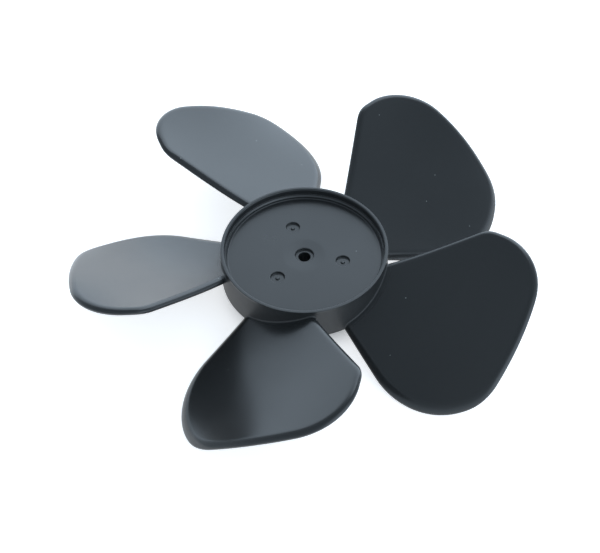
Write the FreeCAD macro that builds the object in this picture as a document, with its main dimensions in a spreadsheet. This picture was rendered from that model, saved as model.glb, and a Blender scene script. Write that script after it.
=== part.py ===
import FreeCAD, Part
import math
import os

import Sketcher

# Axial fan impeller for a small refrigeration fan motor, moulded in one piece from black plastic.
# Frame: Z is the axis of rotation, +Z points out of the open front of the hub.
# Z = 0 is the rear rim of the hub, where the boss ends too.
# +X runs through the middle of the first blade.
# Lengths are in millimetres, angles in degrees.

NODE = "impeller"

# Two points closer than this are the same place
SAME_PLACE = 0.001
QUARTER_TURN = 90

# Driving sizes

SIZES = {
    # hub drum
    "hub_diameter": 71.5,
    "hub_height": 16.2,
    "hub_draft": 0.85,
    "rim_width": 1.6,
    "rim_bevel": 0.45,
    "wall_thickness": 2.0,
    # stepped recess in the front of the hub
    "ledge_depth": 2.9,
    "ledge_width": 1.0,
    "recess_depth": 4.8,
    "disc_thickness": 2.0,
    # shallow dish and stepped hole in the middle
    "dish_diameter": 18.0,
    "dish_depth": 0.25,
    "bore_diameter": 5.2,
    "counterbore_diameter": 8.0,
    "counterbore_depth": 1.3,
    # rear side of the hub
    "boss_diameter": 15.0,
    "boss_draft": 1.0,
    "rib_count": 6,
    "rib_thickness": 1.6,
    "rib_setback": 2.0,
    "rib_overlap": 0.4,
    # gate recesses left by the mould
    "gate_count": 3,
    "gate_circle_diameter": 33.6,
    "gate_diameter": 6.0,
    "gate_depth": 1.0,
    "gate_pip_diameter": 1.5,
    "gate_pip_height": 0.5,
    "gate_angle": 13.6,
    # blade outline, seen along the axis
    "blade_count": 5,
    "tip_diameter": 200.0,
    "tip_high_angle": 6.05,
    "tip_high_radius": 24.5,
    "tip_high_turn_angle": 79.2,
    "high_side_length": 3.25,
    "high_corner_radius": 11.7,
    "high_corner_turn_angle": 38.55,
    "tip_low_angle": 13.3,
    "tip_low_radius": 18.5,
    "tip_low_turn_angle": 43.15,
    "low_side_length": 0.7,
    "low_corner_radius": 36.0,
    "low_corner_turn_angle": 66.85,
    # blade surface: three sections across the blade, heights measured from the front rim,
    # camber from the sheet's middle to its edges
    "blade_thickness": 3.0,
    "front_edge_bevel": 1.2,
    "rear_edge_bevel": 0.9,
    "root_section_inset": 14.0,
    "tip_section_overrun": 3.5,
    "root_section_drop": 6.45,
    "root_pitch_angle": 19.2,
    "root_camber": 0.6,
    "middle_section_drop": 6.05,
    "middle_pitch_angle": 26.0,
    "middle_camber": 4.6,
    "tip_section_rise": 2.1,
    "tip_pitch_angle": 26.9,
    "tip_camber": -13.5,
}


def make_sheet(doc):
    """Writes the driving sizes into a spreadsheet, one named cell each."""
    sheet = doc.addObject("Spreadsheet::Sheet", "Sizes")
    for row, (name, value) in enumerate(SIZES.items(), start=1):
        sheet.set("A%d" % row, name)
        sheet.set("B%d" % row, str(value))
        sheet.setAlias("B%d" % row, name)
    doc.recompute()
    return sheet


def origin_plane(body, role):
    """Returns one of the body's own origin planes or axes."""
    return next(item for item in body.Origin.OriginFeatures if item.Role == role)


def value_of(owner, expression):
    """Evaluates an expression on the sheet's cells to a plain number."""
    result = owner.evalExpression(expression)
    return float(getattr(result, "Value", result))


def add_sketch(body, name, role, offset=None):
    """Adds a sketch on an origin plane, moved along the plane's normal by the offset expression."""
    sketch = body.newObject("Sketcher::SketchObject", name)
    sketch.AttachmentSupport = [(origin_plane(body, role), "")]
    sketch.MapMode = "FlatFace"
    if offset is not None:
        sketch.setExpression("AttachmentOffset.Base.z", offset)
    return sketch


def drive(sketch, kind, geometry, vertex, expression):
    """Ties one coordinate of a sketch point, measured from the sketch origin, to an expression."""
    value = value_of(sketch, expression)
    index = sketch.addConstraint(Sketcher.Constraint(kind, -1, 1, geometry, vertex, value))
    sketch.setExpression("Constraints[%d]" % index, expression)


def dimension(sketch, kind, geometry, value, expression):
    """Adds a dimension of one geometry, such as its radius, driven by an expression."""
    index = sketch.addConstraint(Sketcher.Constraint(kind, geometry, value))
    sketch.setExpression("Constraints[%d]" % index, expression)


def place_point(sketch, geometry, vertex, point):
    """Ties both coordinates of a sketch point to the two expressions of the point."""
    drive(sketch, "DistanceX", geometry, vertex, point[0])
    drive(sketch, "DistanceY", geometry, vertex, point[1])


def vector_of(sketch, point):
    """Works out where a point given by two expressions lies now."""
    return FreeCAD.Vector(value_of(sketch, point[0]), value_of(sketch, point[1]), 0)


def add_circle(sketch, centre, diameter):
    """Adds a circle with its centre and its diameter driven by expressions."""
    radius = value_of(sketch, diameter) / 2
    circle = Part.Circle(vector_of(sketch, centre), FreeCAD.Vector(0, 0, 1), radius)
    geometry = sketch.addGeometry(circle, False)
    place_point(sketch, geometry, 3, centre)
    dimension(sketch, "Diameter", geometry, radius * 2, diameter)


def polar(radius, angle):
    """Returns the two coordinate expressions of a point given by radius and angle."""
    return "(%s) * cos(%s)" % (radius, angle), "(%s) * sin(%s)" % (radius, angle)


def add_lines(sketch, points):
    """Adds a closed outline of straight lines through driven points."""
    count = len(points)
    corners = [vector_of(sketch, point) for point in points]
    for index, corner in enumerate(corners):
        sketch.addGeometry(Part.LineSegment(corner, corners[(index + 1) % count]), False)
    for index in range(count):
        following = (index + 1) % count
        sketch.addConstraint(Sketcher.Constraint("Coincident", index, 2, following, 1))
    for index, point in enumerate(points):
        place_point(sketch, index, 1, point)


def arc_through(start, middle, end):
    """Makes the arc through three points, and says whether its own start is the first of them."""
    circle = Part.Circle(start, middle, end)
    centre = circle.Center
    angles = [math.atan2(point.y - centre.y, point.x - centre.x) for point in (start, end)]
    sweep = (start - centre).cross(middle - centre).z
    if sweep < 0:
        angles.reverse()
    upright = Part.Circle(centre, FreeCAD.Vector(0, 0, 1), circle.Radius)
    return Part.ArcOfCircle(upright, angles[0], angles[1]), sweep > 0


def add_arc(sketch, centre, radius, start, end):
    """Adds an arc, counter-clockwise between two angles in degrees, with its radius driven."""
    size = value_of(sketch, radius)
    circle = Part.Circle(centre, FreeCAD.Vector(0, 0, 1), size)
    arc = Part.ArcOfCircle(circle, math.radians(start), math.radians(end))
    geometry = sketch.addGeometry(arc, False)
    dimension(sketch, "Radius", geometry, size, radius)
    return geometry


# Hub: a drum with a stepped recess in front and a hollow with a boss and ribs behind

HUB_RADIUS = "Sizes.hub_diameter / 2"
REAR_RADIUS = "Sizes.hub_diameter / 2 + Sizes.hub_height * tan(Sizes.hub_draft)"
HOLLOW_RADIUS = REAR_RADIUS + " - Sizes.wall_thickness"
LEDGE_Z = "Sizes.hub_height - Sizes.ledge_depth"
DISC_Z = "Sizes.hub_height - Sizes.recess_depth"
DISC_REAR_Z = DISC_Z + " - Sizes.disc_thickness"
LEDGE_RADIUS = HUB_RADIUS + " - Sizes.rim_width"
RECESS_RADIUS = LEDGE_RADIUS + " - Sizes.ledge_width"
BORE_RADIUS = "Sizes.bore_diameter / 2"
COUNTERBORE_RADIUS = "Sizes.counterbore_diameter / 2"
DISH_FLOOR_Z = DISC_Z + " - Sizes.dish_depth"
COUNTERBORE_FLOOR_Z = DISC_Z + " - Sizes.counterbore_depth"
BOSS_RADIUS = "Sizes.boss_diameter / 2"
BOSS_FRONT_RADIUS = BOSS_RADIUS + " + (" + DISC_REAR_Z + ") * tan(Sizes.boss_draft)"


def revolve_hub(doc, body):
    """Revolves the half section of the drum, its recess, its disc and its boss."""
    sketch = add_sketch(body, "hub_section", "XZ_Plane")
    add_lines(
        sketch,
        [
            (BORE_RADIUS, "0"),
            (BOSS_RADIUS, "0"),
            (BOSS_FRONT_RADIUS, DISC_REAR_Z),
            (HOLLOW_RADIUS, DISC_REAR_Z),
            (HOLLOW_RADIUS, "0"),
            (REAR_RADIUS, "0"),
            (HUB_RADIUS, "Sizes.hub_height"),
            (LEDGE_RADIUS, "Sizes.hub_height"),
            (LEDGE_RADIUS, LEDGE_Z),
            (RECESS_RADIUS, LEDGE_Z),
            (RECESS_RADIUS, DISC_Z),
            ("Sizes.dish_diameter / 2", DISC_Z),
            (COUNTERBORE_RADIUS, DISH_FLOOR_Z),
            (COUNTERBORE_RADIUS, COUNTERBORE_FLOOR_Z),
            (BORE_RADIUS, COUNTERBORE_FLOOR_Z),
        ],
    )
    doc.recompute()
    drum = body.newObject("PartDesign::Revolution", "hub_drum")
    drum.Profile = sketch
    drum.ReferenceAxis = (sketch, ["V_Axis"])
    drum.Angle = 360
    doc.recompute()
    return drum


def edges_where(shape, test):
    """Names the edges of a shape that pass a test."""
    return ["Edge%d" % (index + 1) for index, edge in enumerate(shape.Edges) if test(edge)]


def bevel_edges(doc, body, base, name, edges, width):
    """Adds an equal bevel with a driven width to the named edges of a feature."""
    bevel = body.newObject("PartDesign::Chamfer", name)
    bevel.Base = (base, edges)
    bevel.setExpression("Size", width)
    doc.recompute()
    return bevel


def bevel_rim(doc, body, drum):
    """Bevels both edges of the front rim."""
    top = value_of(drum, "Sizes.hub_height")

    def on_rim(edge):
        return abs(edge.BoundBox.ZMin - top) < SAME_PLACE

    return bevel_edges(doc, body, drum, "rim_bevels", edges_where(drum.Shape, on_rim), "Sizes.rim_bevel")


def turn_pattern(doc, body, originals, name, count):
    """Repeats features evenly about the axis."""
    pattern = body.newObject("PartDesign::PolarPattern", name)
    pattern.Originals = originals
    pattern.Axis = (origin_plane(body, "Z_Axis"), [""])
    pattern.Angle = 360
    pattern.setExpression("Occurrences", count)
    body.Tip = pattern
    doc.recompute()
    return pattern


def add_ribs(doc, body):
    """Adds the thin radial ribs between boss and drum wall, the first one behind a gate."""
    sketch = add_sketch(body, "rib_plan", "XY_Plane", "Sizes.rib_setback")
    near = "(" + BOSS_RADIUS + " - Sizes.rib_overlap)"
    far = "(" + HOLLOW_RADIUS + " + Sizes.rib_overlap)"
    left = "(Sizes.rib_thickness / 2)"
    right = "(-Sizes.rib_thickness / 2)"

    def corner(along, across):
        turned_x = "%s * cos(Sizes.gate_angle) - %s * sin(Sizes.gate_angle)" % (along, across)
        turned_y = "%s * sin(Sizes.gate_angle) + %s * cos(Sizes.gate_angle)" % (along, across)
        return turned_x, turned_y

    add_lines(sketch, [corner(near, right), corner(far, right), corner(far, left), corner(near, left)])
    doc.recompute()
    rib = body.newObject("PartDesign::Pad", "rib")
    rib.Profile = sketch
    rib.setExpression("Length", DISC_REAR_Z + " - Sizes.rib_setback + Sizes.rib_overlap")
    doc.recompute()
    return turn_pattern(doc, body, [rib], "ribs", "Sizes.rib_count")


def add_gates(doc, body):
    """Sinks the round gate recesses into the disc, each with a small pip left in its floor."""
    centre = polar("Sizes.gate_circle_diameter / 2", "Sizes.gate_angle")
    sketch = add_sketch(body, "gate_plan", "XY_Plane", DISC_Z)
    add_circle(sketch, centre, "Sizes.gate_diameter")
    doc.recompute()
    recess = body.newObject("PartDesign::Pocket", "gate_recess")
    recess.Profile = sketch
    recess.setExpression("Length", "Sizes.gate_depth")
    doc.recompute()
    pip_sketch = add_sketch(body, "gate_pip_plan", "XY_Plane", DISC_Z + " - Sizes.gate_depth")
    add_circle(pip_sketch, centre, "Sizes.gate_pip_diameter")
    doc.recompute()
    pip = body.newObject("PartDesign::Pad", "gate_pip")
    pip.Profile = pip_sketch
    pip.setExpression("Length", "Sizes.gate_pip_height")
    doc.recompute()
    return turn_pattern(doc, body, [recess, pip], "gates", "Sizes.gate_count")


# Blade outline, seen along the axis: an arc of the tip circle, and from each of its ends a round, a
# short straight, a second round and a straight edge down to the root, each tangent to the one before

ROOT_RADIUS = HUB_RADIUS + " - Sizes.wall_thickness / 2"
TIP_RADIUS = "Sizes.tip_diameter / 2"


def heading(angle):
    """Returns the unit vector at an angle in degrees."""
    return FreeCAD.Vector(math.cos(math.radians(angle)), math.sin(math.radians(angle)), 0)


def first_crossing(point, direction, radius):
    """Finds where a ray first meets the circle of a radius about the axis."""
    along = point.dot(direction)
    run = -along - math.sqrt(along**2 - point.Length**2 + radius**2)
    return point + direction * run


def add_round(sketch, name, start, angle, hand):
    """Adds a round of the outline, with its radius and its turn driven.

    It starts at a point that lies at the angle as seen from its centre. It turns with the angle
    where the hand is 1, and against it where the hand is -1.
    Returns the arc, its end point and the angle of that end.
    """
    radius = "Sizes.%s_radius" % name
    turn = "Sizes.%s_turn_angle" % name
    size = value_of(sketch, radius)
    swept = value_of(sketch, turn)
    centre = start - heading(angle) * size
    end_angle = angle + hand * swept
    arc = add_arc(sketch, centre, radius, *sorted((angle, end_angle)))
    dimension(sketch, "Angle", arc, math.radians(swept), turn)
    return arc, centre + heading(end_angle) * size, end_angle


def add_side(sketch, side, tip, hand):
    """Adds one side of the outline from the end of the tip arc down to the root.

    Returns its last edge and the point where that meets the root.
    """
    first, last = (1, 2) if hand > 0 else (2, 1)
    angle = hand * value_of(sketch, "Sizes.tip_%s_angle" % side)
    point = heading(angle) * value_of(sketch, TIP_RADIUS)
    drive(sketch, "DistanceY", tip, last, "%s * sin(%d * Sizes.tip_%s_angle)" % (TIP_RADIUS, hand, side))
    tip_round, point, angle = add_round(sketch, "tip_" + side, point, angle, hand)
    length = "Sizes.%s_side_length" % side
    reach = value_of(sketch, length)
    beyond = point + heading(angle + hand * QUARTER_TURN) * reach
    straight = sketch.addGeometry(Part.LineSegment(point, beyond), False)
    dimension(sketch, "Distance", straight, reach, length)
    corner, point, angle = add_round(sketch, side + "_corner", beyond, angle, hand)
    onward = heading(angle + hand * QUARTER_TURN)
    root_point = first_crossing(point, onward, value_of(sketch, ROOT_RADIUS))
    edge = sketch.addGeometry(Part.LineSegment(point, root_point), False)
    chain = [
        (tip, last, tip_round, first),
        (tip_round, last, straight, 1),
        (straight, 2, corner, first),
        (corner, last, edge, 1),
    ]
    for joint in chain:
        sketch.addConstraint(Sketcher.Constraint("Tangent", *joint))
    return edge, root_point


def make_outline(doc):
    """Pads the blade's outline into a prism that reaches past the blade, front and rear."""
    body = doc.addObject("PartDesign::Body", "blade_outline")
    sketch = add_sketch(body, "outline_plan", "XY_Plane")
    centre = FreeCAD.Vector(0, 0, 0)
    tip_ends = [value_of(sketch, angle) for angle in ("-Sizes.tip_low_angle", "Sizes.tip_high_angle")]
    tip = add_arc(sketch, centre, TIP_RADIUS, *tip_ends)
    high_edge, high_root = add_side(sketch, "high", tip, 1)
    low_edge, low_root = add_side(sketch, "low", tip, -1)
    root_ends = [math.degrees(math.atan2(point.y, point.x)) for point in (low_root, high_root)]
    root = add_arc(sketch, centre, ROOT_RADIUS, *root_ends)
    joints = [(tip, 3, -1, 1), (root, 3, -1, 1), (root, 2, high_edge, 2), (root, 1, low_edge, 2)]
    for joint in joints:
        sketch.addConstraint(Sketcher.Constraint("Coincident", *joint))
    doc.recompute()
    prism = body.newObject("PartDesign::Pad", "outline_prism")
    prism.Profile = sketch
    prism.Midplane = True
    prism.setExpression("Length", "Sizes.tip_diameter / 2")
    doc.recompute()
    return body


# Blade: a cambered, twisted sheet lofted through three sections, then cut to the outline

# The sheet reaches this share of the tip diameter to each side, past the widest part of a blade
SHEET_SHARE = 0.3
SHEET_REACH = "Sizes.tip_diameter * %s" % SHEET_SHARE


def add_section(doc, body, name, station, height, pitch, camber):
    """Draws one section across the blade: two arcs a wall apart, closed by short end lines."""
    sketch = add_sketch(body, name, "YZ_Plane", station)
    half_wall = "Sizes.blade_thickness / 2 / cos(%s)" % pitch
    rise = "%s * tan(%s)" % (SHEET_REACH, pitch)
    arcs = []
    for side in ("-", "+"):
        middle = "%s %s %s" % (height, side, half_wall)
        low = ("-" + SHEET_REACH, "%s - %s + %s" % (middle, rise, camber))
        high = (SHEET_REACH, "%s + %s + %s" % (middle, rise, camber))
        spots = [vector_of(sketch, point) for point in (low, ("0", middle), high)]
        arc, forward = arc_through(*spots)
        geometry = sketch.addGeometry(arc, False)
        low_vertex, high_vertex = (1, 2) if forward else (2, 1)
        place_point(sketch, geometry, low_vertex, low)
        place_point(sketch, geometry, high_vertex, high)
        crown = sketch.addGeometry(Part.Point(spots[1]), True)
        sketch.addConstraint(Sketcher.Constraint("PointOnObject", crown, 1, -2))
        drive(sketch, "DistanceY", crown, 1, middle)
        sketch.addConstraint(Sketcher.Constraint("PointOnObject", crown, 1, geometry))
        arcs.append((geometry, low_vertex, high_vertex, spots))
    lower, upper = arcs
    for vertex, spot in ((1, 0), (2, 2)):
        line = sketch.addGeometry(Part.LineSegment(lower[3][spot], upper[3][spot]), False)
        sketch.addConstraint(Sketcher.Constraint("Coincident", line, 1, lower[0], lower[vertex]))
        sketch.addConstraint(Sketcher.Constraint("Coincident", line, 2, upper[0], upper[vertex]))
    doc.recompute()
    return sketch


def skin_edges(feature, upper):
    """Names the outer edges of a blade's upper or lower skin, without its end inside the drum wall."""
    root_reach = value_of(feature, ROOT_RADIUS) + SAME_PLACE
    skins = sorted(feature.Shape.Faces, key=lambda face: face.Area)[-2:]
    skins.sort(key=lambda face: face.CenterOfMass.z)
    skin = skins[1] if upper else skins[0]

    def is_outer(edge):
        on_skin = any(edge.isSame(other) for other in skin.Edges)
        at_root = all(math.hypot(end.X, end.Y) < root_reach for end in edge.Vertexes)
        return on_skin and not at_root

    return edges_where(feature.Shape, is_outer)


def make_blades(doc, outline):
    """Lofts one blade, cuts it to its outline, bevels its edges and repeats it about the axis."""
    body = doc.addObject("PartDesign::Body", "blades")
    body.AllowCompound = True
    root_station = HUB_RADIUS + " - Sizes.root_section_inset"
    tip_station = TIP_RADIUS + " + Sizes.tip_section_overrun"
    middle_station = "(%s + %s) / 2" % (root_station, tip_station)
    root = add_section(
        doc, body, "root_section", root_station,
        "Sizes.hub_height - Sizes.root_section_drop", "Sizes.root_pitch_angle", "Sizes.root_camber",
    )
    middle = add_section(
        doc, body, "middle_section", middle_station,
        "Sizes.hub_height - Sizes.middle_section_drop", "Sizes.middle_pitch_angle", "Sizes.middle_camber",
    )
    tip = add_section(
        doc, body, "tip_section", tip_station,
        "Sizes.hub_height + Sizes.tip_section_rise", "Sizes.tip_pitch_angle", "Sizes.tip_camber",
    )
    sheet = body.newObject("PartDesign::AdditiveLoft", "blade_sheet")
    sheet.Profile = root
    sheet.Sections = [middle, tip]
    doc.recompute()
    trimmed = body.newObject("PartDesign::Boolean", "blade_trimmed")
    trimmed.Type = "Common"
    trimmed.setObjects([outline])
    doc.recompute()
    upper_edges = skin_edges(trimmed, True)
    front = bevel_edges(doc, body, trimmed, "front_edge_bevels", upper_edges, "Sizes.front_edge_bevel")
    lower_edges = skin_edges(front, False)
    bevel_edges(doc, body, front, "rear_edge_bevels", lower_edges, "Sizes.rear_edge_bevel")
    pattern = turn_pattern(doc, body, [], "blade_set", "Sizes.blade_count")
    pattern.TransformMode = "Whole shape"
    doc.recompute()
    return body


def main():
    """Builds the impeller, checks it and writes its shape."""
    doc = FreeCAD.newDocument("axial_fan_impeller")
    make_sheet(doc)
    outline = make_outline(doc)
    blades = make_blades(doc, outline)
    body = doc.addObject("PartDesign::Body", NODE)
    body.Label = NODE
    drum = revolve_hub(doc, body)
    bevel_rim(doc, body, drum)
    add_ribs(doc, body)
    add_gates(doc, body)
    joined = body.newObject("PartDesign::Boolean", "hub_and_blades")
    joined.Type = "Fuse"
    joined.setObjects([blades])
    doc.recompute()
    for item in doc.Objects:
        if "Invalid" in item.State or "Error" in item.State:
            raise RuntimeError("%s failed: %s" % (item.Name, item.State))
    shape = body.Shape
    if shape.isNull() or not shape.isValid() or len(shape.Solids) != 1:
        raise RuntimeError("the impeller is not one valid solid")
    os.makedirs("parts", exist_ok=True)
    shape.exportStep(os.path.join("parts", NODE + ".step"))
    print("volume", round(shape.Volume, 1), "box", shape.BoundBox)


main()
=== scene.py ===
import logging
import math
from dataclasses import dataclass, field
from enum import Enum
from typing import Iterable, Optional, Sequence

import bmesh
import bpy
from mathutils import Matrix, Vector
from mathutils.geometry import delaunay_2d_cdt


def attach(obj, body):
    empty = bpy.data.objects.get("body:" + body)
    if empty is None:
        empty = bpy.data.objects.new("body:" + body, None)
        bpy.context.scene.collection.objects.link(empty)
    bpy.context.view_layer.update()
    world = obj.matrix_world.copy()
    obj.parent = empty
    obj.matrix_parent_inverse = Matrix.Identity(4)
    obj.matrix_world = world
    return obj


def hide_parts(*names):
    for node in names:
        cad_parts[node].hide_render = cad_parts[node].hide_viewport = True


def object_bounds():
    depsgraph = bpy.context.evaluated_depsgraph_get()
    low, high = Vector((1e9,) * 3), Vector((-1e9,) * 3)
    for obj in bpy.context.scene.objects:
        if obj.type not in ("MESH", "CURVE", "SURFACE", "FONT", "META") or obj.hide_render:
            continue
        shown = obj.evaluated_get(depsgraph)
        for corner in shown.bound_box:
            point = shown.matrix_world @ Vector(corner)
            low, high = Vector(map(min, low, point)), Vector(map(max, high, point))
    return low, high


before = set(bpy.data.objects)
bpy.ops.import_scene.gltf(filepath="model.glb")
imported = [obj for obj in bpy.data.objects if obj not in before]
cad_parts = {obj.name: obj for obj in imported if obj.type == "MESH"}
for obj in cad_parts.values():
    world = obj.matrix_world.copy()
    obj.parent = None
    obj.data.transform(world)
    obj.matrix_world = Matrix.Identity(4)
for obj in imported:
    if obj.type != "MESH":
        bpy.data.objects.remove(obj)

CAD_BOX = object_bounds()

# Sizes are in millimetres and angles in degrees, as in the CAD; meshes are made in metres.
MM = 0.001
NODE = "impeller"
PIECE = "impeller_moulding"
BODY = "root"
FULL_TURN = 360.0
# two spots of a flat fill closer than this are one
SAME_SPOT = 1e-6

log = logging.getLogger("impeller_scene")


class Skin(Enum):
    """The two broad faces of a blade."""

    FRONT = 1
    REAR = -1


def heading(angle: float) -> Vector:
    """Return the unit vector at an angle in the plan."""
    return Vector((math.cos(math.radians(angle)), math.sin(math.radians(angle))))


def steps(count: int) -> list[float]:
    """Return evenly spaced shares from 0 to 1, both included."""
    return [index / count for index in range(count + 1)]


# Mesh shells


@dataclass
class Shell:
    """Points and faces of a closed surface, in millimetres."""

    points: list[Vector] = field(default_factory=list)
    faces: list[tuple[int, ...]] = field(default_factory=list)
    creases: list[tuple[int, int]] = field(default_factory=list)

    def add_row(self, row: Iterable[Vector]) -> list[int]:
        """Add a row of points and return their numbers."""
        start = len(self.points)
        self.points.extend(row)
        return list(range(start, len(self.points)))

    def join_rows(self, first: Sequence[int], second: Sequence[int], closed: bool) -> None:
        """Lay a strip of quads between two rows of equal length.

        Args:
            first: point numbers of the first row.
            second: point numbers of the second row.
            closed: whether the rows are rings.
        """
        count = len(first)
        for index in range(count if closed else count - 1):
            after = (index + 1) % count
            self.faces.append((first[index], first[after], second[after], second[index]))

    def fill_flat(
        self, outer: Sequence[int], holes: Sequence[Sequence[int]], inner: Sequence[Vector],
    ) -> list[int]:
        """Fill the plan between rings with triangles.

        Args:
            outer: point numbers of the outer ring.
            holes: point numbers of each inner ring.
            inner: loose points to use inside, given in the plan.

        Returns:
            The numbers of the loose points, in the order given.
        """
        loose = self.add_row(Vector((spot.x, spot.y, 0.0)) for spot in inner)
        numbers = [number for ring in (outer, *holes) for number in ring] + loose
        plan = [self.points[number].xy for number in numbers]
        edges: list[tuple[int, int]] = []
        first = 0
        for ring in (outer, *holes):
            size = len(ring)
            edges.extend((first + index, first + (index + 1) % size) for index in range(size))
            first += size
        result = delaunay_2d_cdt(plan, edges, [], 1, SAME_SPOT)
        spots, triangles, origins = result[0], result[2], result[3]
        if any(not origin for origin in origins):
            raise RuntimeError("a flat fill crosses its own outline")
        hole_plans = [[self.points[number].xy for number in ring] for ring in holes]
        for triangle in triangles:
            middle = sum((spots[corner] for corner in triangle), Vector((0.0, 0.0))) / len(triangle)
            if any(encloses(hole, middle) for hole in hole_plans):
                continue
            self.faces.append(tuple(numbers[origins[corner][0]] for corner in triangle))
        return loose

    def append(self, other: "Shell", turn: float = 0.0) -> None:
        """Add another shell, turned about the axis by an angle in degrees."""
        start = len(self.points)
        rotation = Matrix.Rotation(math.radians(turn), 3, "Z")
        self.points.extend(rotation @ point for point in other.points)
        self.faces.extend(tuple(start + number for number in face) for face in other.faces)
        self.creases.extend((start + a, start + b) for a, b in other.creases)

    def crease_ring(self, ring: Sequence[int]) -> None:
        """Mark a ring's edges as sharp."""
        self.creases.extend((ring[index - 1], ring[index]) for index in range(len(ring)))

    def to_mesh(self, name: str) -> bpy.types.Mesh:
        """Make the Blender mesh, in metres, with its faces outward and shaded smooth.

        Args:
            name: name of the mesh.

        Returns:
            The mesh.
        """
        mesh = bpy.data.meshes.new(name)
        mesh.from_pydata([point * MM for point in self.points], [], self.faces)
        mesh.validate()
        work = bmesh.new()
        work.from_mesh(mesh)
        bmesh.ops.recalc_face_normals(work, faces=work.faces)
        sharp = {tuple(sorted(pair)) for pair in self.creases}
        for edge in work.edges:
            edge.smooth = tuple(sorted(vert.index for vert in edge.verts)) not in sharp
        for face in work.faces:
            face.smooth = True
        work.to_mesh(mesh)
        work.free()
        return mesh


def encloses(ring: Sequence[Vector], spot: Vector) -> bool:
    """Say whether a closed ring in the plan goes round a spot."""
    inside = False
    for index, corner in enumerate(ring):
        before = ring[index - 1]
        if (corner.y > spot.y) != (before.y > spot.y):
            crossing = before.x + (spot.y - before.y) * (corner.x - before.x) / (corner.y - before.y)
            inside ^= spot.x < crossing
    return inside


def clearance(ring: Sequence[Vector], spot: Vector) -> float:
    """Return the distance from a spot to the nearest point of a ring in the plan."""
    return min((corner - spot).length for corner in ring)


@dataclass(frozen=True)
class Corner:
    """A corner of a revolved section, with the radius of its round."""

    r: float
    z: float
    round: float = 0.0

    @property
    def spot(self) -> Vector:
        """The corner's place in the section."""
        return Vector((self.r, self.z))


def rounded_section(corners: Sequence[Corner], support: float, turns: int = 5) -> list[Vector]:
    """Round the corners of an open section.

    Each round gets a support point on either side, which keeps the flats flat to the eye.

    Args:
        corners: the section's corners in order; the two ends stay as they are.
        support: distance of the support points from the round.
        turns: number of chords in a round.

    Returns:
        The section's points, as radius and height.
    """
    points = [corners[0].spot]
    for before, corner, after in zip(corners, corners[1:], corners[2:]):
        back = (before.spot - corner.spot).normalized()
        on = (after.spot - corner.spot).normalized()
        if corner.round <= 0.0:
            points.append(corner.spot)
            continue
        half = back.angle(on) / 2
        reach = corner.round / math.tan(half)
        centre = corner.spot + (back + on).normalized() * corner.round / math.sin(half)
        start = corner.spot + back * reach - centre
        end = corner.spot + on * reach - centre
        sweep = start.angle_signed(end)
        points.append(corner.spot + back * (reach + support))
        for share in steps(turns):
            points.append(centre + Matrix.Rotation(-sweep * share, 2) @ start)
        points.append(corner.spot + on * (reach + support))
    points.append(corners[-1].spot)
    return points


def revolve(
    shell: Shell, section: Sequence[Vector], segments: int, centre: Vector = Vector((0.0, 0.0)),
) -> list[list[int]]:
    """Revolve an open section about an upright axis.

    Args:
        shell: takes the points and faces.
        section: radius and height of each point.
        segments: points in a ring.
        centre: where the axis stands in the plan.

    Returns:
        The rings' point numbers, in the section's order.
    """
    rings = []
    for spot in section:
        ring = []
        for index in range(segments):
            plan = centre + heading(FULL_TURN * index / segments) * spot.x
            ring.append(Vector((plan.x, plan.y, spot.y)))
        rings.append(shell.add_row(ring))
    for first, second in zip(rings, rings[1:]):
        shell.join_rows(first, second, True)
    return rings


# Hub drum


@dataclass(frozen=True)
class Gate:
    """One round gate recess with the pip that the mould's gate leaves in its floor."""

    diameter: float = 6.0
    depth: float = 1.0
    pip_diameter: float = 1.5
    pip_height: float = 0.5
    lip_round: float = 0.3
    floor_round: float = 0.3
    pip_round: float = 0.25
    wall_draft: float = 0.05
    peak_flat: float = 0.1
    support: float = 0.12
    segments: int = 64

    def build(self, shell: Shell, centre: Vector, top: float) -> list[int]:
        """Sink the recess below a flat.

        Args:
            shell: takes the recess.
            centre: middle of the recess in the plan.
            top: height of the flat.

        Returns:
            The ring where the recess meets the flat.
        """
        radius = self.diameter / 2
        floor = top - self.depth
        pip = self.pip_diameter / 2
        peak = floor + self.pip_height
        corners = [
            Corner(radius + self.lip_round + 2 * self.support, top),
            Corner(radius, top, self.lip_round),
            Corner(radius - self.wall_draft, floor, self.floor_round),
            Corner(pip + self.wall_draft, floor, self.pip_round),
            Corner(pip, peak, self.pip_round),
            Corner(self.peak_flat, peak),
        ]
        rings = revolve(shell, rounded_section(corners, self.support), self.segments, centre)
        shell.faces.append(tuple(rings[-1]))
        return rings[0]


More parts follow.
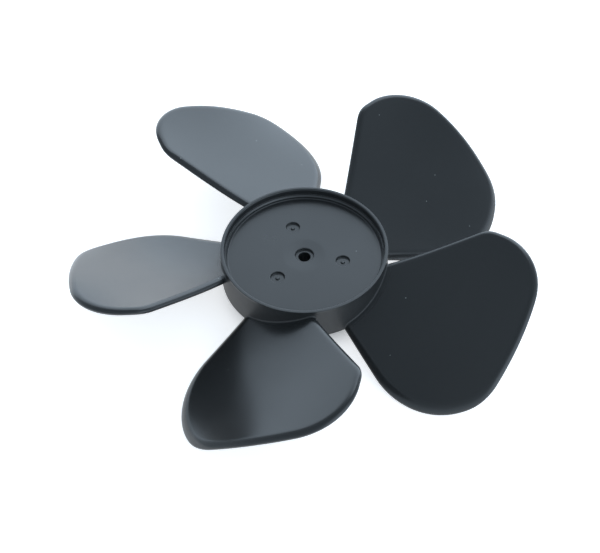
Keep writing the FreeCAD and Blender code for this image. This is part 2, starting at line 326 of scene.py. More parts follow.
@dataclass(frozen=True)
class Drum:
    """The hub: a drum, stepped in front, with a hollow, a boss and ribs behind."""

    diameter: float = 71.5
    height: float = 16.2
    draft: float = 0.85
    rim_width: float = 1.6
    rim_outer_round: float = 0.2
    rim_inner_round: float = 0.65
    wall: float = 2.0
    ledge_depth: float = 2.9
    ledge_width: float = 1.0
    ledge_slope: float = 0.7
    recess_depth: float = 4.8
    disc: float = 2.0
    dish_diameter: float = 18.0
    dish_depth: float = 0.25
    dish_round: float = 30.0
    bore_diameter: float = 5.2
    counterbore_diameter: float = 8.0
    counterbore_depth: float = 1.3
    boss_diameter: float = 15.0
    boss_draft: float = 1.0
    rib_count: int = 6
    rib_thickness: float = 1.6
    rib_setback: float = 2.0
    rib_overlap: float = 0.4
    gate: Gate = Gate()
    gate_count: int = 3
    gate_circle_diameter: float = 33.6
    gate_angle: float = 13.6
    recess_round: float = 0.45
    recess_draft: float = 0.02
    recess_flat: float = 0.9
    slope_width: float = 0.5
    slope_round: float = 0.15
    ledge_round: float = 0.2
    bore_round: float = 0.2
    counterbore_draft: float = 0.05
    counterbore_round: float = 0.35
    dish_flat: float = 1.2
    bore_join: float = 1.0
    small_round: float = 0.3
    foot_round: float = 0.6
    support: float = 0.12
    segments: int = 192

    @property
    def rear_radius(self) -> float:
        """Radius of the drum at its rear rim."""
        return self.diameter / 2 + self.height * math.tan(math.radians(self.draft))

    @property
    def hollow_radius(self) -> float:
        """Radius of the hollow behind the disc."""
        return self.rear_radius - self.wall

    @property
    def disc_top(self) -> float:
        """Height of the disc's front face."""
        return self.height - self.recess_depth

    @property
    def disc_rear(self) -> float:
        """Height of the disc's rear face."""
        return self.disc_top - self.disc

    def wall_radius(self, z: float) -> float:
        """Return the radius of the outer wall at a height."""
        return self.diameter / 2 + (self.height - z) * math.tan(math.radians(self.draft))

    def front_section(self) -> tuple[list[Vector], list[Vector]]:
        """Return the sections inside and outside the flat of the disc that holds the gates."""
        bore = self.bore_diameter / 2
        counterbore = self.counterbore_diameter / 2
        seat = self.disc_top - self.counterbore_depth
        dish_floor = self.disc_top - self.dish_depth
        dish = self.dish_diameter / 2
        ledge = self.diameter / 2 - self.rim_width
        recess = ledge - self.ledge_width
        ledge_z = self.height - self.ledge_depth
        inner = [
            Corner(bore, self.bore_join),
            Corner(bore, seat, self.bore_round),
            Corner(counterbore - self.counterbore_draft, seat, self.bore_round),
            Corner(counterbore, dish_floor, self.counterbore_round),
            Corner(dish, self.disc_top, self.dish_round),
            Corner(dish + self.dish_flat, self.disc_top),
        ]
        outer = [
            Corner(recess - self.recess_flat, self.disc_top),
            Corner(recess, self.disc_top, self.recess_round),
            Corner(recess + self.recess_draft, ledge_z - self.ledge_slope, self.slope_round),
            Corner(recess + self.slope_width, ledge_z, self.slope_round),
            Corner(ledge, ledge_z, self.ledge_round),
            Corner(ledge, self.height, self.rim_inner_round),
            Corner(self.diameter / 2, self.height, self.rim_outer_round),
            Corner(self.rear_radius, 0.0, self.small_round),
            Corner(self.hollow_radius, 0.0, self.small_round),
            Corner(self.hollow_radius, self.disc_rear, self.foot_round),
            Corner(self.boss_radius(self.disc_rear), self.disc_rear, self.foot_round),
            Corner(self.boss_radius(0.0), 0.0, self.small_round),
            Corner(bore, 0.0, self.bore_round),
            Corner(bore, self.bore_join),
        ]
        return rounded_section(inner, self.support), rounded_section(outer, self.support)

    def boss_radius(self, z: float) -> float:
        """Return the boss's radius at a height."""
        return self.boss_diameter / 2 + z * math.tan(math.radians(self.boss_draft))

    def build(self) -> Shell:
        """Revolve the drum, sink its gates and stand its ribs behind the disc.

        Returns:
            The hub's shell.
        """
        shell = Shell()
        inner, outer = self.front_section()
        inner_rings = revolve(shell, inner, self.segments)
        outer_rings = revolve(shell, outer[:-1], self.segments)
        shell.join_rows(outer_rings[-1], inner_rings[0], True)
        holes = [inner_rings[-1]]
        for index in range(self.gate_count):
            angle = self.gate_angle + FULL_TURN * index / self.gate_count
            centre = heading(angle) * self.gate_circle_diameter / 2
            holes.append(self.gate.build(shell, centre, self.disc_top))
        shell.fill_flat(outer_rings[0], holes, [])
        for index in range(self.rib_count):
            shell.append(self.rib(), self.gate_angle + FULL_TURN * index / self.rib_count)
        return shell

    def rib(self) -> Shell:
        """Return one radial rib, rounded along its free edge, its ends inside boss and wall."""
        near = self.boss_diameter / 2 - self.rib_overlap
        far = self.hollow_radius + self.rib_overlap
        half = self.rib_thickness / 2
        top = self.disc_rear + self.rib_overlap
        low = self.rib_setback
        outline = rounded_section(
            [
                Corner(-half, top),
                Corner(-half, low, self.small_round),
                Corner(half, low, self.small_round),
                Corner(half, top),
            ],
            self.support,
        )
        shell = Shell()
        rows = [shell.add_row(Vector((along, spot.x, spot.y)) for spot in outline) for along in (near, far)]
        shell.join_rows(rows[0], rows[1], True)
        shell.faces.extend([tuple(rows[0]), tuple(rows[1])])
        for row in rows:
            shell.crease_ring(row)
        return shell


# Blades


@dataclass(frozen=True)
class Run:
    """A stretch of the blade's outline: an arc about a centre, or a straight between two spots.

    Each point of the outline has the angle of its outward direction, so an inner line parallel to
    the outline is found by going back along that direction.
    """

    start: Vector
    end: Vector
    start_angle: float
    end_angle: float
    radius: float = 0.0

    def spot(self, share: float, inset: float) -> Vector:
        """Return the point at a share of the run, moved into the blade by the inset."""
        angle = self.start_angle + (self.end_angle - self.start_angle) * share
        if self.radius > 0.0:
            return self.start + heading(angle) * (self.radius - inset)
        return self.start.lerp(self.end, share) - heading(angle) * inset

    @property
    def length(self) -> float:
        """Length of the run on the outline."""
        if self.radius > 0.0:
            return math.radians(abs(self.end_angle - self.start_angle)) * self.radius
        return (self.end - self.start).length


@dataclass(frozen=True)
class Side:
    """One side of the outline: a round at the tip, a short straight, a corner and a root edge."""

    tip_angle: float
    tip_radius: float
    tip_turn: float
    straight: float
    corner_radius: float
    corner_turn: float


@dataclass(frozen=True)
class Outline:
    """A blade's outline seen along the axis: the arc of the tip circle between two sides."""

    tip_diameter: float = 200.0
    high: Side = Side(
        tip_angle=6.05, tip_radius=24.5, tip_turn=79.2, straight=3.25, corner_radius=11.7, corner_turn=38.55,
    )
    low: Side = Side(
        tip_angle=13.3, tip_radius=18.5, tip_turn=43.15, straight=0.7, corner_radius=36.0, corner_turn=66.85,
    )
    root_reach: float = 60.0

    def side(self, hand: int) -> list[Run]:
        """Return one side's runs from the tip arc down past the root.

        Args:
            hand: 1 for the high side, -1 for the low side.

        Returns:
            The runs, each starting where the one before ends.
        """
        size = self.high if hand > 0 else self.low
        angle = hand * size.tip_angle
        spot = heading(angle) * self.tip_diameter / 2
        tip_round, spot = self.turn(spot, angle, hand, size.tip_radius, size.tip_turn)
        angle = tip_round.end_angle
        beyond = spot + heading(angle + 90 * hand) * size.straight
        straight = Run(spot, beyond, angle, angle)
        corner, spot = self.turn(beyond, angle, hand, size.corner_radius, size.corner_turn)
        angle = corner.end_angle
        edge = Run(spot, spot + heading(angle + 90 * hand) * self.root_reach, angle, angle)
        return [tip_round, straight, corner, edge]

    @staticmethod
    def turn(spot: Vector, angle: float, hand: int, radius: float, turn: float) -> tuple[Run, Vector]:
        """Return the round that starts at a spot, and the spot where it ends."""
        centre = spot - heading(angle) * radius
        end = angle + hand * turn
        return Run(centre, centre, angle, end, radius), centre + heading(end) * radius

    def tip(self) -> Run:
        """Return the arc of the tip circle."""
        axis = Vector((0.0, 0.0))
        return Run(axis, axis, -self.low.tip_angle, self.high.tip_angle, self.tip_diameter / 2)


@dataclass(frozen=True)
class Section:
    """One section across the blade: an arc given by its crown, its pitch and its camber."""

    station: float
    crown: float
    pitch: float
    camber: float


@dataclass(frozen=True)
class Surface:
    """The blade's middle surface: three sections, joined smoothly from root to tip."""

    sections: tuple[Section, Section, Section] = (
        Section(21.75, 9.75, 19.2, 0.6),
        Section(62.625, 10.15, 26.0, 4.6),
        Section(103.5, 18.3, 26.9, -13.5),
    )
    reach: float = 60.0

    def arc_height(self, section: Section, y: float) -> float:
        """Return the height of a section's arc at a distance across the blade."""
        rise = self.reach * math.tan(math.radians(section.pitch))
        low = Vector((-self.reach, section.crown - rise + section.camber))
        high = Vector((self.reach, section.crown + rise + section.camber))
        crown = Vector((0.0, section.crown))
        a, b = crown - low, high - low
        cross = 2 * (a.x * b.y - a.y * b.x)
        centre = low + Vector((
            (b.y * a.length_squared - a.y * b.length_squared) / cross,
            (a.x * b.length_squared - b.x * a.length_squared) / cross,
        ))
        radius = (low - centre).length
        drop = math.sqrt(radius**2 - (y - centre.x) ** 2)
        return centre.y - math.copysign(drop, centre.y - section.crown)

    def blend(self, x: float) -> list[float]:
        """Return each section's weight at a distance out from the axis."""
        a, b, c = (section.station for section in self.sections)
        return [
            (x - b) * (x - c) / ((a - b) * (a - c)),
            (x - a) * (x - c) / ((b - a) * (b - c)),
            (x - a) * (x - b) / ((c - a) * (c - b)),
        ]

    def height(self, spot: Vector) -> float:
        """Return the height of the middle surface over a spot in the plan."""
        weights = self.blend(spot.x)
        heights = [self.arc_height(section, spot.y) for section in self.sections]
        return sum(weight * height for weight, height in zip(weights, heights))

    def stretch(self, spot: Vector) -> float:
        """Return how much longer an upright line through the wall is than the wall is thick."""
        weights = self.blend(spot.x)
        return sum(
            weight / math.cos(math.radians(section.pitch)) for weight, section in zip(weights, self.sections)
        )


@dataclass(frozen=True)
class Blade:
    """One blade: a cambered, twisted sheet with soft edges and a small round at its root."""

    drum: Drum
    outline: Outline = Outline()
    surface: Surface = Surface()
    thickness: float = 3.0
    front_band: float = 3.6
    band_onset: float = 1.4
    nose_angle: float = 55.0
    nose_round: float = 0.3
    rear_band: float = 0.8
    rear_drop: float = 0.8
    root_round: float = 0.6
    edge_turns: int = 9
    nose_turns: int = 4
    root_turns: int = 5
    low_root_steps: int = 16
    high_root_steps: int = 30
    pitch_of_points: float = 1.3
    root_face_steps: int = 30
    clear_share: float = 0.6
    search_rounds: int = 6
    foot_spread: float = 1.3
    foot_sink: float = 0.03
    foot_gap: float = 0.004
    least_round: float = 0.05
    rim_margin: float = 0.35
    buried: float = 0.6

    def edge_profile(self) -> list[Vector]:
        """Return inset and height of each line round the edge, from the front face to the rear one."""
        half = self.thickness / 2
        nose_start = math.radians(self.nose_angle)
        nose_width = self.nose_round * (1 - math.sin(nose_start))
        step = (self.front_band - nose_width) / self.edge_turns
        profile = [Vector((self.front_band, half))]
        for turn in range(self.edge_turns):
            slope = nose_start * ((turn + 0.5) / self.edge_turns) ** self.band_onset
            profile.append(profile[-1] - Vector((step, step * math.tan(slope))))
        broad_end = profile[-1].y
        for share in steps(self.nose_turns)[1:]:
            angle = nose_start + (math.pi / 2 - nose_start) * share
            inset = self.nose_round * (1 - math.sin(angle))
            drop = self.nose_round * (math.cos(nose_start) - math.cos(angle))
            profile.append(Vector((inset, broad_end - drop)))
        for share in steps(self.edge_turns):
            angle = math.radians(90 * (1 - share))
            inset = self.rear_band * (1 - math.sin(angle))
            profile.append(Vector((inset, -half + self.rear_drop * (1 - math.cos(angle)))))
        return profile

    def lift(self, spot: Vector, level: float) -> Vector:
        """Return the point over a spot, at a level measured from the middle surface."""
        return Vector((spot.x, spot.y, self.surface.height(spot) + level * self.surface.stretch(spot)))

    def root_spot(self, edge: Run, inset: float, level: float) -> Vector:
        """Return where a straight root edge comes to the root round, in the plan."""
        start = edge.spot(0.0, inset)
        along = (edge.spot(1.0, inset) - start).normalized()
        spot = start
        for _ in range(self.search_rounds):
            radius = self.drum.wall_radius(self.lift(spot, level).z) + self.root_round
            ahead = -start.dot(along)
            spot = start + along * (ahead - math.sqrt(ahead**2 - start.length_squared + radius**2))
        return spot

    def edge_line(self, inset: float, level: float) -> list[Vector]:
        """Return the points of a line round the blade's edge, from the low root to the high one."""
        low = self.outline.side(-1)
        high = self.outline.side(1)
        spots: list[Vector] = []
        low_root = self.root_spot(low[3], inset, level)
        high_root = self.root_spot(high[3], inset, level)
        low_start, high_start = low[3].spot(0.0, inset), high[3].spot(0.0, inset)
        spots.extend(low_root.lerp(low_start, share) for share in steps(self.low_root_steps)[:-1])
        for run in reversed(low[:3]):
            count = max(1, math.ceil(run.length / self.pitch_of_points))
            spots.extend(run.spot(1 - share, inset) for share in steps(count)[:-1])
        tip = self.outline.tip()
        count = math.ceil(tip.length / self.pitch_of_points)
        spots.extend(tip.spot(share, inset) for share in steps(count)[:-1])
        for run in high[:3]:
            count = max(1, math.ceil(run.length / self.pitch_of_points))
            spots.extend(run.spot(share, inset) for share in steps(count)[:-1])
        spots.extend(high_start.lerp(high_root, share) for share in steps(self.high_root_steps))
        return [self.lift(spot, level) for spot in spots]

    def root_line(self, low: Vector, high: Vector, level: float) -> list[Vector]:
        """Return points along the root round between a face's two edges, the ends left out."""
        low_angle = math.atan2(low.y, low.x)
        high_angle = math.atan2(high.y, high.x)
        line = []
        for share in steps(self.root_face_steps)[1:-1]:
            direction = heading(math.degrees(low_angle + (high_angle - low_angle) * share))
            spot = direction * self.drum.diameter / 2
            for _ in range(self.search_rounds):
                spot = direction * (self.drum.wall_radius(self.lift(spot, level).z) + self.root_round)
            line.append(self.lift(spot, level))
        return line

    def fill_skin(self, shell: Shell, ring: Sequence[int], level: float) -> None:
        """Fill a broad face inside its ring with an even net of points on the surface."""
        plan = [shell.points[number].xy for number in ring]
        pitch = self.pitch_of_points
        row_gap = pitch * math.sqrt(3) / 2
        low_x, high_x = min(spot.x for spot in plan), max(spot.x for spot in plan)
        low_y, high_y = min(spot.y for spot in plan), max(spot.y for spot in plan)
        inner = []
        for row in range(int((high_x - low_x) / row_gap) + 1):
            for column in range(int((high_y - low_y) / pitch) + 2):
                spot = Vector((low_x + row * row_gap, low_y + (column - (row % 2) / 2) * pitch))
                if encloses(plan, spot) and clearance(plan, spot) > self.clear_share * pitch:
                    inner.append(spot)
        for number in shell.fill_flat(ring, [], inner):
            shell.points[number] = self.lift(shell.points[number].xy, level)

    def build(self) -> Shell:
        """Build the blade's shell: two broad faces, the soft edge, the root round and its end.

        Returns:
            The shell of the blade that lies along +X.
        """
        shell = Shell()
        profile = self.edge_profile()
        lines = [self.edge_line(spot.x, spot.y) for spot in profile]
        count = min(len(line) for line in lines)
        if any(len(line) != count for line in lines):
            raise RuntimeError("the lines round a blade's edge differ in length")
        rows = [shell.add_row(line) for line in lines]
        for first, second in zip(rows, rows[1:]):
            shell.join_rows(first, second, False)
        levels = {Skin.FRONT: profile[0].y, Skin.REAR: profile[-1].y}
        roots = {}
        for skin, row in ((Skin.FRONT, rows[0]), (Skin.REAR, rows[-1])):
            low, high = shell.points[row[0]], shell.points[row[-1]]
            roots[skin] = shell.add_row(self.root_line(low, high, levels[skin]))
            self.fill_skin(shell, list(row) + roots[skin][::-1], levels[skin])
        high_ends = [row[-1] for row in rows]
        low_ends = [row[0] for row in rows]
        loop = roots[Skin.FRONT] + high_ends + roots[Skin.REAR][::-1] + low_ends[::-1]
        self.add_root(shell, loop, len(roots[Skin.FRONT]), len(high_ends))
        return shell

    def add_root(self, shell: Shell, loop: list[int], face_count: int, edge_count: int) -> None:
        """Lead the root loop in a small round onto the drum and close it inside the drum's wall.

        Args:
            shell: takes the round.
            loop: point numbers of the loop round the root.
            face_count: how many of them lie on each broad face.
            edge_count: how many lie round each side edge.
        """
        size = len(loop)
        starts = [shell.points[number] for number in loop]
        outward = []
        for index, point in enumerate(starts):
            along = starts[(index + 1) % size] - starts[index - 1]
            radial = Vector((point.x, point.y, 0.0)).normalized()
            outward.append(radial.cross(along).normalized())
        if outward[face_count // 2].z < 0:
            outward = [-direction for direction in outward]
        ring = loop
        for turn in range(1, self.root_turns + 2):
            angle = math.radians(90 * min(1.0, turn / self.root_turns))
            spread = 1 - math.cos(angle)
            off_wall = self.root_round * (1 - math.sin(angle)) + self.foot_gap
            if turn > self.root_turns:
                spread, off_wall = self.foot_spread, -self.foot_sink
            row = [self.on_wall(point, side, spread, off_wall) for point, side in zip(starts, outward)]
            after = shell.add_row(row)
            shell.join_rows(ring, after, True)
            ring = after
        shell.crease_ring(ring)
        buried = shell.add_row(
            self.on_wall(point, side, self.foot_spread, -self.buried) for point, side in zip(starts, outward)
        )
        shell.join_rows(ring, buried, True)
        front = buried[:face_count]
        rear = buried[face_count + edge_count:2 * face_count + edge_count][::-1]
        shell.join_rows(front, rear, False)
        high_end = buried[face_count - 1:face_count + edge_count + 1]
        low_end = buried[2 * face_count + edge_count - 1:] + buried[:1]
        shell.faces.extend([tuple(high_end), tuple(low_end)])

    def on_wall(self, point: Vector, side: Vector, spread: float, off_wall: float) -> Vector:
        """Return a point of the root round: moved sideways, then set off the drum's wall."""
        # below the blade, the round gets smaller where it nears the drum's rear rim
        above_rim = max(self.least_round, point.z - self.rim_margin)
        room = min(self.root_round, above_rim) if side.z < 0 else self.root_round
        moved = point + side * room * spread
        radial = Vector((moved.x, moved.y)).normalized()
        radius = self.drum.wall_radius(moved.z) + off_wall
        return Vector((radial.x * radius, radial.y * radius, moved.z))


# Finishes


def linear(code: str) -> tuple[float, float, float, float]:
    """Turn an sRGB hex code such as 1c2023 into Blender's linear colour."""
    channels = [int(code[start:start + 2], 16) / 255 for start in (0, 2, 4)]
    red, green, blue = (
        channel / 12.92 if channel <= 0.04045 else ((channel + 0.055) / 1.055) ** 2.4 for channel in channels
    )
    return red, green, blue, 1.0


def add_node(
    tree: bpy.types.NodeTree,
    kind: str,
    settings: Optional[dict[str, object]] = None,
    values: Optional[dict[object, object]] = None,
    links: Optional[dict[object, bpy.types.NodeSocket]] = None,
) -> bpy.types.Node:
    """Add a node with its settings, its socket values and its incoming links.

    Args:
        tree: the node tree.
        kind: Blender's name of the node type.
        settings: properties of the node.
        values: socket name or number, and its value.
        links: socket name or number, and the output that feeds it.

    Returns:
        The node.
    """
    node = tree.nodes.new(kind)
    for name, value in (settings or {}).items():
        setattr(node, name, value)
    for name, value in (values or {}).items():
        node.inputs[name].default_value = value
    for name, output in (links or {}).items():
        tree.links.new(output, node.inputs[name])
    return node


def distance_from_axis(tree: bpy.types.NodeTree, place: bpy.types.NodeSocket) -> bpy.types.NodeSocket:
    """Work out how far a spot lies from the axis of rotation.

    Args:
        tree: takes the nodes.
        place: the spot on the piece.

    Returns:
        The distance in the plan.
    """
    flat = add_node(
        tree, "ShaderNodeVectorMath", {"operation": "MULTIPLY"}, {1: (1.0, 1.0, 0.0)}, {0: place},
    )
    away = add_node(
        tree, "ShaderNodeVectorMath", {"operation": "LENGTH"}, links={0: flat.outputs["Vector"]},
    )
    return away.outputs["Value"]


@dataclass(frozen=True)
class Ramp:
    """A range of a measure, and the range that a Map Range node turns it into."""

    start: float
    end: float
    low: float = 0.0
    high: float = 1.0

    def values(self, unit: float = 1.0) -> dict[object, object]:
        """Return the node's socket values, with the measure's range given in a unit."""
        return {
            "From Min": self.start * unit, "From Max": self.end * unit,
            "To Min": self.low, "To Max": self.high,
        }


@dataclass(frozen=True)
class BlackPolypropylene:
    """Polypropylene, injection moulded and self-coloured black, with a satin surface.

    To the eye it is a cool near-black that turns to a soft grey sheen where it mirrors the light.
    """

    colour: str = "1f2122"
    dust_colour: str = "646867"
    ior: float = 1.49
    roughness: Ramp = Ramp(0.3, 0.7, 0.2, 0.26)
    hub_extra: Ramp = Ramp(36.5, 38.5, 0.07, 0.0)
    side_inner: Ramp = Ramp(35.2, 35.3)
    side_outer: Ramp = Ramp(36.1, 36.6, 1.0, 0.0)
    side_top: Ramp = Ramp(15.0, 15.7, 1.0, 0.0)
    side_extra: float = 0.2
    flow_size: float = 22.0
    flow_detail: float = 3.0
    grain_size: float = 0.5
    grain_detail: float = 2.0
    grain_depth: float = 0.012
    grain_strength: float = 0.35
    dust_spacing: float = 12.0
    dust_size: float = 0.28

    def material(self) -> bpy.types.Material:
        """Return the node material."""
        material = bpy.data.materials.new("black_polypropylene_moulded")
        material.use_nodes = True
        tree = material.node_tree
        shader = tree.nodes["Principled BSDF"]
        shader.inputs["IOR"].default_value = self.ior
        shader.inputs["Metallic"].default_value = 0.0
        place = add_node(tree, "ShaderNodeTexCoord").outputs["Object"]
        tree.links.new(self.gloss(tree, place), shader.inputs["Roughness"])
        # fine grain of the eroded mould; the real grain of about 0.05 mm is drawn 0.5 mm wide to show
        grain = add_node(
            tree, "ShaderNodeTexNoise",
            values={"Scale": 1 / (self.grain_size * MM), "Detail": self.grain_detail},
            links={"Vector": place},
        )
        bump = add_node(
            tree, "ShaderNodeBump",
            values={"Strength": self.grain_strength, "Distance": self.grain_depth * MM},
            links={"Height": grain.outputs[0]},
        )
        tree.links.new(bump.outputs["Normal"], shader.inputs["Normal"])
        # a few specks of dust
        cells = add_node(
            tree, "ShaderNodeTexVoronoi", values={"Scale": 1 / (self.dust_spacing * MM)},
            links={"Vector": place},
        )
        near = add_node(
            tree, "ShaderNodeMath", {"operation": "LESS_THAN"}, {1: self.dust_size / self.dust_spacing},
            {0: cells.outputs["Distance"]},
        )
        dust = add_node(
            tree, "ShaderNodeMix", {"data_type": "RGBA"},
            {"A": linear(self.colour), "B": linear(self.dust_colour)}, {"Factor": near.outputs[0]},
        )
        tree.links.new(dust.outputs["Result"], shader.inputs["Base Color"])
        return material

    def gloss(self, tree: bpy.types.NodeTree, place: bpy.types.NodeSocket) -> bpy.types.NodeSocket:
        """Lay out how dull the surface is.

        Args:
            tree: takes the nodes.
            place: the spot on the piece.

        Returns:
            The roughness.
        """
        # the melt's flow leaves broad, faint patches that are a little duller or glossier
        flow = add_node(
            tree, "ShaderNodeTexNoise",
            values={"Scale": 1 / (self.flow_size * MM), "Detail": self.flow_detail},
            links={"Vector": place},
        )
        roughness = add_node(
            tree, "ShaderNodeMapRange", values=self.roughness.values(), links={"Value": flow.outputs[0]},
        )
        # the hub is eroded more coarsely than the blades, so it mirrors less clearly
        radius = distance_from_axis(tree, place)
        hub = add_node(tree, "ShaderNodeMapRange", values=self.hub_extra.values(MM), links={"Value": radius})
        hub_dull = add_node(
            tree, "ShaderNodeMath", {"operation": "ADD"}, links={0: roughness.outputs[0], 1: hub.outputs[0]},
        )
        # the drum's outer side, drawn out of the mould along its full height, is the dullest face
        height = add_node(tree, "ShaderNodeSeparateXYZ", links={"Vector": place}).outputs["Z"]
        inner, outer, low = (
            add_node(tree, "ShaderNodeMapRange", values=ramp.values(MM), links={"Value": measure}).outputs[0]
            for ramp, measure in (
                (self.side_inner, radius), (self.side_outer, radius), (self.side_top, height),
            )
        )
        ring = add_node(tree, "ShaderNodeMath", {"operation": "MULTIPLY"}, links={0: inner, 1: outer})
        side = add_node(tree, "ShaderNodeMath", {"operation": "MULTIPLY"}, links={0: ring.outputs[0], 1: low})
        duller = add_node(
            tree, "ShaderNodeMath", {"operation": "MULTIPLY_ADD"}, {1: self.side_extra},
            {0: side.outputs[0], 2: hub_dull.outputs[0]},
        )
        return duller.outputs[0]


@dataclass(frozen=True)
class PaintedLightFloor:
    """A plain matt white floor that glows: painted light that washes out the shadows on it.

    The glow is left out under the hub, as painted shade there, and is weaker near the impeller than farther
    out, as painted shade round it.
    """

    colour: str = "f4f4f4"
    painted_light_colour: str = "ffffff"
    roughness: float = 0.9
    # painted light: the floor's glow, weaker near the impeller as painted shade round it, stronger farther
    # out
    painted_floor_light: Ramp = Ramp(70.0, 350.0, 0.66, 1.15)
    # painted shade: no glow under the hub
    painted_hub_shade: Ramp = Ramp(20.0, 40.0)

    def material(self) -> bpy.types.Material:
        """Return the node material."""
        material = bpy.data.materials.new("floor_with_painted_light")
        material.use_nodes = True
        tree = material.node_tree
        shader = tree.nodes["Principled BSDF"]
        shader.inputs["Base Color"].default_value = linear(self.colour)
        shader.inputs["Roughness"].default_value = self.roughness
        shader.inputs["Emission Color"].default_value = linear(self.painted_light_colour)
        place = add_node(tree, "ShaderNodeTexCoord").outputs["Object"]
        away = distance_from_axis(tree, place)
        # the floor's glow is painted light; these two ramps paint shade under and round the hub
        painted_floor_light, painted_hub_shade = (
            add_node(
                tree, "ShaderNodeMapRange", {"interpolation_type": "SMOOTHSTEP"}, ramp.values(MM),
                {"Value": away},
            ).outputs[0]
            for ramp in (self.painted_floor_light, self.painted_hub_shade)
        )
        strength = add_node(tree, "ShaderNodeMath", {"operation": "MULTIPLY"}, links={0: painted_floor_light, 1: painted_hub_shade})
        tree.links.new(strength.outputs[0], shader.inputs["Emission Strength"])
        return material


# The impeller and the studio


@dataclass(frozen=True)
class Impeller:
    """The whole moulding: the drum and its blades."""

    drum: Drum = Drum()
    blade_count: int = 5
    finish: BlackPolypropylene = BlackPolypropylene()

    def build(self) -> bpy.types.Object:
        """Build the moulding as one piece and dress it.

        Returns:
            The piece.
        """
        shell = self.drum.build()
        blade = Blade(self.drum).build()
        for index in range(self.blade_count):
            shell.append(blade, FULL_TURN * index / self.blade_count)
        mesh = shell.to_mesh(PIECE)
        mesh.materials.append(self.finish.material())
        piece = bpy.data.objects.new(PIECE, mesh)
        bpy.context.scene.collection.objects.link(piece)
        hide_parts(NODE)
        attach(piece, BODY)
        log.info("%s: %d points, %d faces", PIECE, len(mesh.vertices), len(mesh.polygons))
        return piece


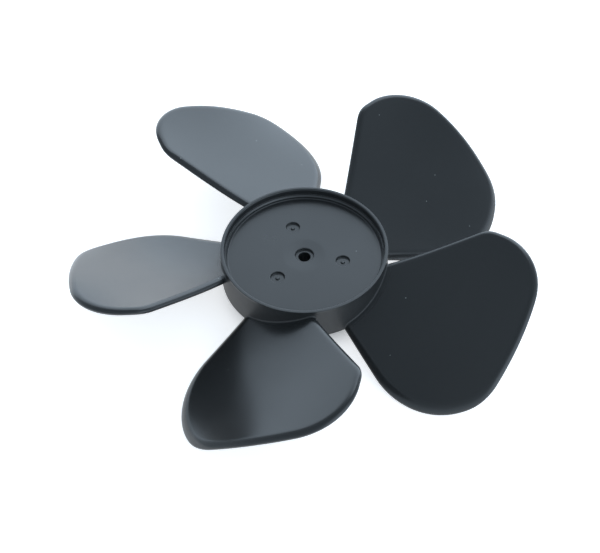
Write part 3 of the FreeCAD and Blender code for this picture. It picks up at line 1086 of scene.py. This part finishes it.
@dataclass(frozen=True)
class LightTent:
    """A tent of cloth round the table, with a softbox behind and a small panel low in front.

    Ranges are sines of the height above the table, except those of the softbox, which are measured
    on an upright sheet at unit distance behind the table.
    """

    colour: tuple[float, float, float, float] = (0.84, 1.0, 1.16, 1.0)
    roof: Ramp = Ramp(0.8, 1.0, 0.56, 0.38)
    walls: Ramp = Ramp(0.15, 0.65, 0.95, 0.0)
    wall_side: Ramp = Ramp(-1.0, 1.0, 0.35, 1.05)
    right_gain: float = 0.08
    low_panel_angle: float = -42.0
    low_panel_height: float = 28.0
    low_panel: Ramp = Ramp(0.82, 0.98, 0.0, 1.2)
    nearest_sheet: float = 0.02
    softbox_middle: float = -0.25
    softbox: Ramp = Ramp(-0.4, 0.9, 1.85, 3.25)
    softbox_side: Ramp = Ramp(1.05, 1.3, 1.0, 0.0)
    softbox_top: Ramp = Ramp(2.2, 2.9, 1.0, 0.0)
    softbox_lean: float = -0.67
    softbox_left: Ramp = Ramp(-1.55, -1.1)

    def cloth(
        self, tree: bpy.types.NodeTree, turned: bpy.types.Node, split: bpy.types.Node,
    ) -> bpy.types.NodeSocket:
        """Light the cloth and the low panel.

        Args:
            tree: takes the nodes.
            turned: the direction, seen along the camera's heading.
            split: its three parts.

        Returns:
            Their strength.
        """
        # the cloth is dim overhead and brighter towards the table
        roof = add_node(
            tree, "ShaderNodeMapRange", values=self.roof.values(), links={"Value": split.outputs["Z"]},
        )
        walls = add_node(
            tree, "ShaderNodeMapRange", {"interpolation_type": "SMOOTHSTEP"}, self.walls.values(),
            {"Value": split.outputs["Z"]},
        )
        right = add_node(
            tree, "ShaderNodeMath", {"operation": "MULTIPLY_ADD"}, {1: self.right_gain},
            {0: split.outputs["X"], 2: roof.outputs[0]},
        )
        side = add_node(
            tree, "ShaderNodeMapRange", values=self.wall_side.values(), links={"Value": split.outputs["X"]},
        )
        cloth = add_node(
            tree, "ShaderNodeMath", {"operation": "MULTIPLY_ADD"},
            links={0: walls.outputs[0], 1: side.outputs[0], 2: right.outputs[0]},
        )
        # the small low panel stands in front, to the right
        height = math.radians(self.low_panel_height)
        plan = heading(self.low_panel_angle) * math.cos(height)
        facing = add_node(
            tree, "ShaderNodeVectorMath", {"operation": "DOT_PRODUCT"},
            {1: (plan.x, plan.y, math.sin(height))}, {0: turned.outputs["Vector"]},
        )
        panel = add_node(
            tree, "ShaderNodeMapRange", {"interpolation_type": "SMOOTHSTEP"}, self.low_panel.values(),
            {"Value": facing.outputs["Value"]},
        )
        both = add_node(
            tree, "ShaderNodeMath", {"operation": "ADD"}, links={0: cloth.outputs[0], 1: panel.outputs[0]},
        )
        return both.outputs[0]

    def box(self, tree: bpy.types.NodeTree, split: bpy.types.Node) -> bpy.types.NodeSocket:
        """Light the upright softbox, which is brighter at its right and leans in at its left.

        Args:
            tree: takes the nodes.
            split: the direction's three parts.

        Returns:
            The softbox's strength.
        """
        ahead = add_node(
            tree, "ShaderNodeMath", {"operation": "MAXIMUM"}, {1: self.nearest_sheet},
            {0: split.outputs["Y"]},
        )
        across, upward = (
            add_node(
                tree, "ShaderNodeMath", {"operation": "DIVIDE"},
                links={0: split.outputs[axis], 1: ahead.outputs[0]},
            ).outputs[0]
            for axis in "XZ"
        )
        offset = add_node(
            tree, "ShaderNodeMath", {"operation": "SUBTRACT"}, {1: self.softbox_middle}, {0: across},
        )
        width = add_node(tree, "ShaderNodeMath", {"operation": "ABSOLUTE"}, links={0: offset.outputs[0]})
        lean = add_node(
            tree, "ShaderNodeMath", {"operation": "MULTIPLY_ADD"}, {1: self.softbox_lean},
            {0: upward, 2: across},
        )
        strength = add_node(
            tree, "ShaderNodeMapRange", values=self.softbox.values(), links={"Value": across},
        ).outputs[0]
        edges = (
            (self.softbox_side, width.outputs[0]),
            (self.softbox_top, upward),
            (self.softbox_left, lean.outputs[0]),
        )
        for ramp, measure in edges:
            inside = add_node(
                tree, "ShaderNodeMapRange", {"interpolation_type": "SMOOTHSTEP"}, ramp.values(),
                {"Value": measure},
            )
            strength = add_node(
                tree, "ShaderNodeMath", {"operation": "MULTIPLY"}, links={0: strength, 1: inside.outputs[0]},
            ).outputs[0]
        return strength

    def hang(self, view_turn: float) -> None:
        """Hang the tent round the table, turned with the camera's heading."""
        scene = bpy.context.scene
        scene.view_settings.view_transform = "Standard"
        world = bpy.data.worlds.new("light_tent")
        scene.world = world
        world.use_nodes = True
        tree = world.node_tree
        background = tree.nodes["Background"]
        direction = add_node(tree, "ShaderNodeTexCoord").outputs["Generated"]
        turned = add_node(
            tree, "ShaderNodeVectorRotate", {"rotation_type": "Z_AXIS"}, {"Angle": -math.radians(view_turn)},
            {"Vector": direction},
        )
        split = add_node(tree, "ShaderNodeSeparateXYZ", links={"Vector": turned.outputs["Vector"]})
        strength = add_node(
            tree, "ShaderNodeMath", {"operation": "MAXIMUM"},
            links={0: self.box(tree, split), 1: self.cloth(tree, turned, split)},
        )
        tree.links.new(strength.outputs[0], background.inputs["Strength"])
        background.inputs["Color"].default_value = self.colour


@dataclass(frozen=True)
class Studio:
    """Floor, light and camera.

    The camera's angles, its focal length in the picture's pixels and its offset, in hub radii, were
    solved from the hub's circles and the blades in the photograph.
    """

    floor_size: float = 6.0
    floor_drop: float = 0.0003
    view_turn: float = 27.2919
    view_height: float = 49.759
    view_roll: float = -1.3547
    hub_radius: float = 0.035753
    hub_height: float = 0.0162
    focal_pixels: float = 1333.816
    picture_width: float = 600.0
    sensor: float = 36.0
    nearest_seen: float = 0.01
    offset: tuple[float, float, float] = (0.05025, -0.34647, 15.8873)
    sheet: PaintedLightFloor = PaintedLightFloor()
    tent: LightTent = LightTent()

    def add_camera(self) -> None:
        """Set the camera where the photograph was taken from."""
        tilt = math.radians(self.view_height)
        look = Matrix((
            (1.0, 0.0, 0.0),
            (0.0, -math.sin(tilt), -math.cos(tilt)),
            (0.0, math.cos(tilt), -math.sin(tilt)),
        ))
        roll = Matrix.Rotation(math.radians(self.view_roll), 3, "Z")
        turned = roll @ look @ Matrix.Rotation(math.radians(-self.view_turn), 3, "Z")
        shift = Vector(self.offset) * self.hub_radius - roll @ look @ Vector((0.0, 0.0, self.hub_height))
        place = -(turned.transposed() @ shift)
        flip = Matrix.Diagonal((1.0, -1.0, -1.0))
        data = bpy.data.cameras.new("photo_camera")
        data.sensor_width = self.sensor
        data.lens = self.focal_pixels / self.picture_width * self.sensor
        data.clip_start = self.nearest_seen
        camera = bpy.data.objects.new("photo_camera", data)
        camera.matrix_world = Matrix.Translation(place) @ (flip @ turned).transposed().to_4x4()
        bpy.context.scene.collection.objects.link(camera)
        bpy.context.scene.camera = camera

    def add_floor(self) -> None:
        """Lay the floor, whose glow is painted light, just below the lowest point of the impeller."""
        low = CAD_BOX[0][2] - self.floor_drop
        half = self.floor_size / 2
        mesh = bpy.data.meshes.new("floor")
        corners = [(-half, -half, low), (half, -half, low), (half, half, low), (-half, half, low)]
        mesh.from_pydata(corners, [], [(0, 1, 2, 3)])
        mesh.materials.append(self.sheet.material())
        floor = bpy.data.objects.new("floor", mesh)
        bpy.context.scene.collection.objects.link(floor)


def main() -> None:
    """Build the studio and the impeller."""
    logging.basicConfig(level=logging.INFO, format="%(message)s")
    studio = Studio()
    studio.add_camera()
    studio.add_floor()
    studio.tent.hang(studio.view_turn)
    Impeller().build()


if __name__ == "__main__":
    main()
